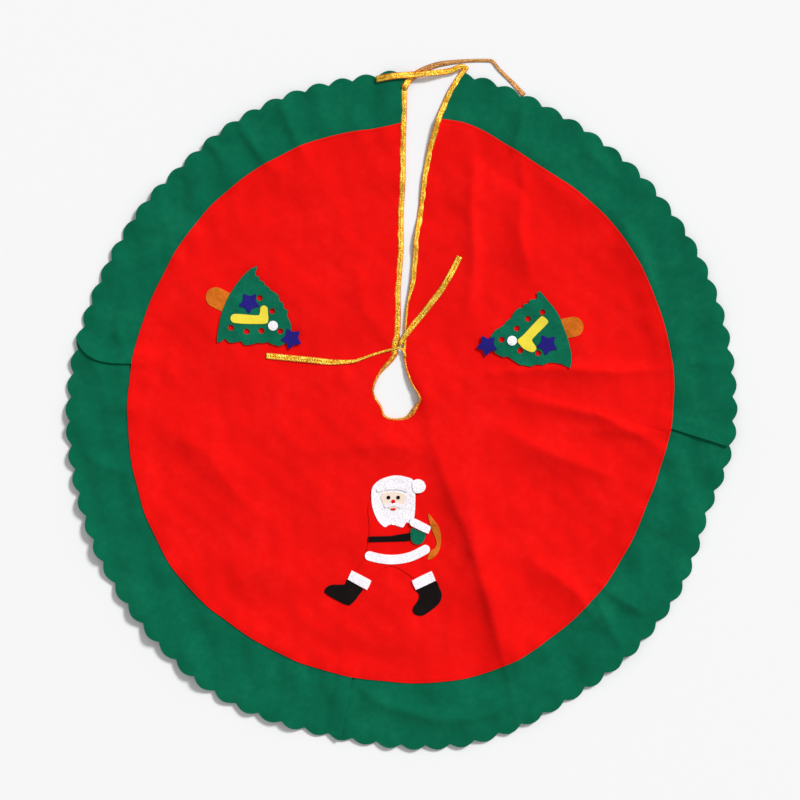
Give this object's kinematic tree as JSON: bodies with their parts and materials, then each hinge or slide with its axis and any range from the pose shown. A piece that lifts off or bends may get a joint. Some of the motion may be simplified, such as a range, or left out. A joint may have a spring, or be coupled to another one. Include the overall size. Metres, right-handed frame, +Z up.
{
  "type": "tree skirt",
  "caption": "Round felt tree skirt laid flat, with a scalloped border, a slit to a neck opening, ribbon ties and glued felt motifs; one quarter folds up.",
  "frame": {"origin": "centre of the scalloped circle, on the surface that the skirt lies on", "axes": "+Z up out of the felt; +Y towards the slit; +X to the right seen from above"},
  "size_m": [0.8994, 0.924, 0.008],
  "materials": {
    "red_felt": "soft pressed felt, matt",
    "green_felt": "soft pressed felt, matt",
    "green_motif_felt": "thin pressed felt, matt",
    "brown_felt": "thin pressed felt, matt",
    "navy_felt": "thin pressed felt, matt",
    "yellow_felt": "thin pressed felt, matt",
    "white_felt": "thin felt with a fine glitter",
    "black_felt": "thin pressed felt, matt",
    "skin_felt": "thin pressed felt, matt",
    "gold_tape": "metallic gold woven tape, folded and stitched"
  },
  "bodies": {
    "skirt": {"red_panel": "red_felt", "border_rear_left": "green_felt", "border_front_left": "green_felt", "border_front_right": "green_felt", "slit_binding_left": "gold_tape", "neck_binding": "gold_tape", "neck_tie_left": "gold_tape", "hem_tie_left": "gold_tape", "left_tree_body": "green_motif_felt", "left_tree_trunk": "brown_felt", "left_tree_top_star": "navy_felt", "left_tree_middle_star": "navy_felt", "left_tree_bent_bar": "yellow_felt", "left_tree_bobble": "white_felt", "figure_sack": "brown_felt", "figure_suit": "red_felt", "figure_boot_left": "black_felt", "figure_boot_right": "black_felt", "figure_boot_cuff_left": "white_felt", "figure_boot_cuff_right": "white_felt", "figure_jacket_hem": "white_felt", "figure_belt": "black_felt", "figure_mitten": "green_motif_felt", "figure_head": "white_felt", "figure_mitten_cuff": "white_felt", "figure_hat_pompom": "white_felt", "figure_face": "skin_felt", "figure_hat_brim": "white_felt", "figure_eye_left": "black_felt", "figure_eye_right": "black_felt", "figure_nose": "red_felt", "figure_moustache": "white_felt", "figure_mouth": "red_felt"},
    "rear_quarter": {"red_panel_rear_quarter": "red_felt", "border_rear_right": "green_felt", "slit_binding_right": "gold_tape", "neck_tie_right": "gold_tape", "hem_tie_right": "gold_tape", "right_tree_body": "green_motif_felt", "right_tree_trunk": "brown_felt", "right_tree_top_star": "navy_felt", "right_tree_middle_star": "navy_felt", "right_tree_bent_bar": "yellow_felt", "right_tree_bobble": "white_felt"}
  },
  "joints": [
    {"name": "rear_quarter_fold", "type": "hinge", "parent": "skirt", "child": "rear_quarter", "pos_m": [0.003, 0.088, 0.0046], "axis": [0.9532, -0.3024, 0], "range_deg": [0, 120]}
  ]
}
